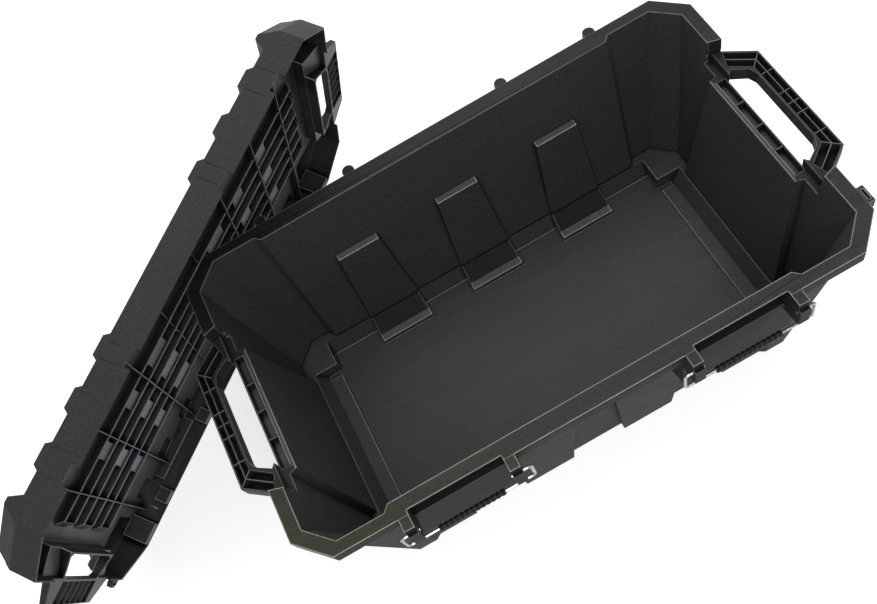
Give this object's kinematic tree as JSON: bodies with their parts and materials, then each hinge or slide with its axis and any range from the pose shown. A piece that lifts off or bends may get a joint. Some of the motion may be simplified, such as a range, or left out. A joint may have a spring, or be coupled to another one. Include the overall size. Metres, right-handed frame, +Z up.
{
  "type": "lidded storage box with wire latches",
  "caption": "Long black plastic storage box with a leaning lift-off ribbed lid, open-frame end handles and wire-bail front latches.",
  "frame": {"origin": "middle of the tub's underside, on the ground", "axes": "+X along the box towards the end with the tie loop, -Y towards the latches, +Z up"},
  "size_m": [1.1672, 0.7667, 0.4783],
  "materials": {
    "tub_plastic": "satin black, fine grain, worn bright on edges",
    "lid_plastic": "satin charcoal, fine grain, dusty on the outside",
    "grip_plastic": "satin black, ringed",
    "latch_steel": "bright drawn wire"
  },
  "bodies": {
    "tub": {"tub": "tub_plastic"},
    "lid": {"lid": "lid_plastic"},
    "bail_left": {"latch_wire_left": "latch_steel"},
    "bail_right": {"latch_wire_right": "latch_steel"},
    "grip_left": {"latch_grip_left": "grip_plastic"},
    "grip_right": {"latch_grip_right": "grip_plastic"}
  },
  "joints": [
    {"name": "lid_lift", "type": "slide", "parent": "tub", "child": "lid", "axis": [0, 0, 1], "range_m": [0, 0.36]},
    {"name": "bail_left_swing", "type": "hinge", "parent": "tub", "child": "bail_left", "pos_m": [-0.188, -0.2435, 0.303], "axis": [-1, 0, 0], "range_deg": [-12, 190]},
    {"name": "bail_right_swing", "type": "hinge", "parent": "tub", "child": "bail_right", "pos_m": [0.188, -0.2435, 0.303], "axis": [-1, 0, 0], "range_deg": [-12, 190]},
    {"name": "grip_left_spin", "type": "hinge", "parent": "bail_left", "child": "grip_left", "pos_m": [-0.188, -0.2435, 0.265], "axis": [1, 0, 0], "continuous": true},
    {"name": "grip_right_spin", "type": "hinge", "parent": "bail_right", "child": "grip_right", "pos_m": [0.188, -0.2435, 0.265], "axis": [1, 0, 0], "continuous": true}
  ]
}
